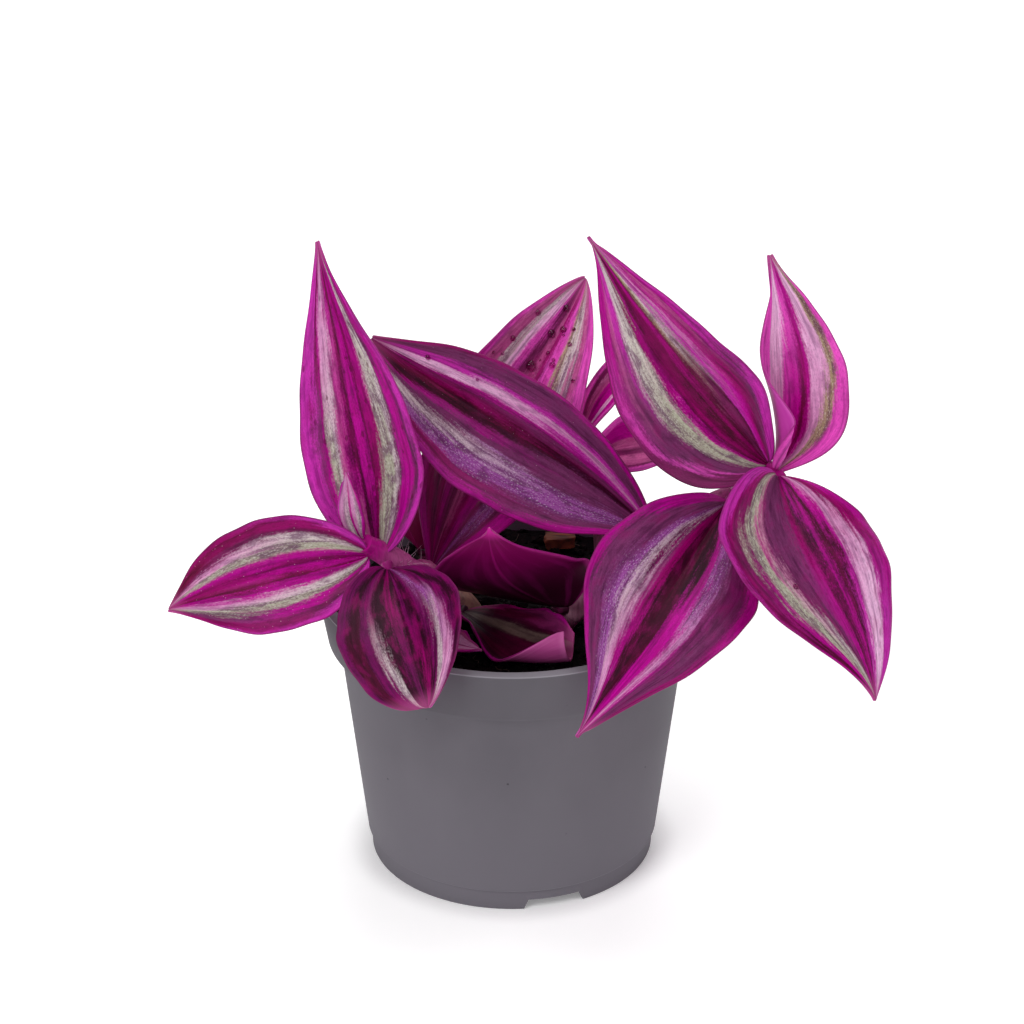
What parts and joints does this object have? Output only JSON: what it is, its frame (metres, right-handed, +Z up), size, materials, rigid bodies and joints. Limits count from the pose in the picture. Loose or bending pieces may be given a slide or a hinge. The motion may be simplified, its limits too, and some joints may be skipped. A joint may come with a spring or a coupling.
{
  "type": "potted tradescantia",
  "caption": "Small potted tradescantia: broad pointed leaves striped magenta, purple and silver on short stems, in a round tapered nursery pot of matte grey plastic",
  "frame": {"origin": "on the surface that the pot stands on, under the middle of the whole plant's bounding box", "axes": "+Z up; +X to the right as the plant is seen from its front, along its widest spread; +Y towards its back"},
  "size_m": [0.1092, 0.0682, 0.0993],
  "materials": {
    "pot": "matte",
    "soil": "rough",
    "stem": "satin",
    "leaf": "satin",
    "bark": "rough"
  },
  "bodies": {
    "root": {"pot": "pot", "soil": "soil", "stem_left": "stem", "stem_right": "stem", "stem_left_inner": "stem", "stem_back": "stem", "leaf_left_tall": "leaf", "leaf_left_side": "leaf", "leaf_left_front": "leaf", "leaf_left_bud": "leaf", "leaf_left_inner": "leaf", "leaf_centre_long": "leaf", "leaf_centre_back": "leaf", "leaf_front_upright": "leaf", "leaf_front_low": "leaf", "leaf_front_small": "leaf", "leaf_back_narrow": "leaf", "leaf_back_wide": "leaf", "leaf_right_tall": "leaf", "leaf_right_front": "leaf", "leaf_right_low": "leaf", "leaf_right_folded": "leaf", "bark_chip": "bark"}
  },
  "joints": []
}
